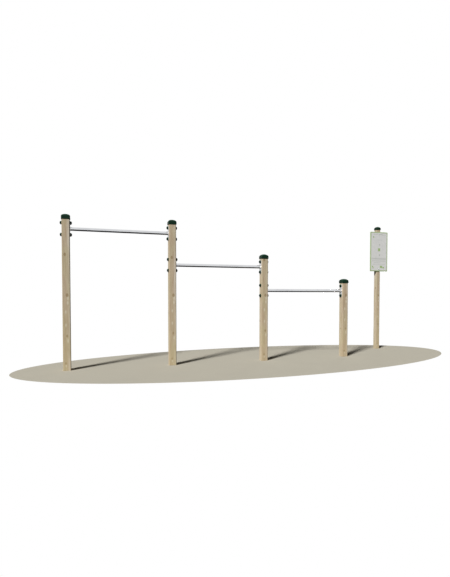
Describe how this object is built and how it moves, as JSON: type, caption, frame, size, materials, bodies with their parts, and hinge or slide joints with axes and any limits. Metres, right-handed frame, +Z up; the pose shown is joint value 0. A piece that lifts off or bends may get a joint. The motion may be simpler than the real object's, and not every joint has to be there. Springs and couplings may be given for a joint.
{
  "type": "pull-up bar set",
  "caption": "Row of timber posts with domed caps that carry steel pull-up bars stepping down in height, with a matching post and sign board beside it.",
  "frame": {"origin": "centre of the tall end post's foot, at ground level", "axes": "+Z up, +X along the row from the tall end post to the short one, +Y to the back, away from the side that the sign faces"},
  "size_m": [5.032, 0.7149, 2],
  "materials": {
    "timber": "planed and pressure-treated softwood",
    "bar_steel": "finely ground stainless tube",
    "plate_steel": "ground stainless plate",
    "weld_steel": "pickled weld",
    "cap_plastic": "satin moulded dark green",
    "cover_plastic": "satin moulded dark green",
    "fixing_steel": "stainless fasteners",
    "board_plastic": "green through-coloured board",
    "face_print": "pale printed sheet"
  },
  "bodies": {
    "root": {"bar_1_plate_left": "plate_steel", "bar_1_plate_right": "plate_steel", "bar_1_tube": "bar_steel", "bar_1_welds": "weld_steel", "bar_2_plate_left": "plate_steel", "bar_2_plate_right": "plate_steel", "bar_2_tube": "bar_steel", "bar_2_welds": "weld_steel", "bar_3_plate_left": "plate_steel", "bar_3_plate_right": "plate_steel", "bar_3_tube": "bar_steel", "bar_3_welds": "weld_steel", "post_1": "timber", "post_1_bolts": "fixing_steel", "post_1_cover_bases": "cover_plastic", "post_1_cover_domes": "cover_plastic", "post_1_nuts": "fixing_steel", "post_1_washers": "fixing_steel", "post_2": "timber", "post_2_bolts": "fixing_steel", "post_2_cover_bases": "cover_plastic", "post_2_cover_domes": "cover_plastic", "post_2_nuts": "fixing_steel", "post_2_washers": "fixing_steel", "post_3": "timber", "post_3_bolts": "fixing_steel", "post_3_cover_bases": "cover_plastic", "post_3_cover_domes": "cover_plastic", "post_3_nuts": "fixing_steel", "post_3_washers": "fixing_steel", "post_4": "timber", "post_4_bolts": "fixing_steel", "post_4_cover_bases": "cover_plastic", "post_4_cover_domes": "cover_plastic", "post_4_nuts": "fixing_steel", "post_4_washers": "fixing_steel", "post_cap_1": "cap_plastic", "post_cap_2": "cap_plastic", "post_cap_3": "cap_plastic", "post_cap_4": "cap_plastic", "sign_board": "board_plastic", "sign_face": "face_print", "sign_post": "timber", "sign_post_cap": "cap_plastic", "sign_screws": "fixing_steel", "sign_washers": "fixing_steel"}
  },
  "joints": []
}
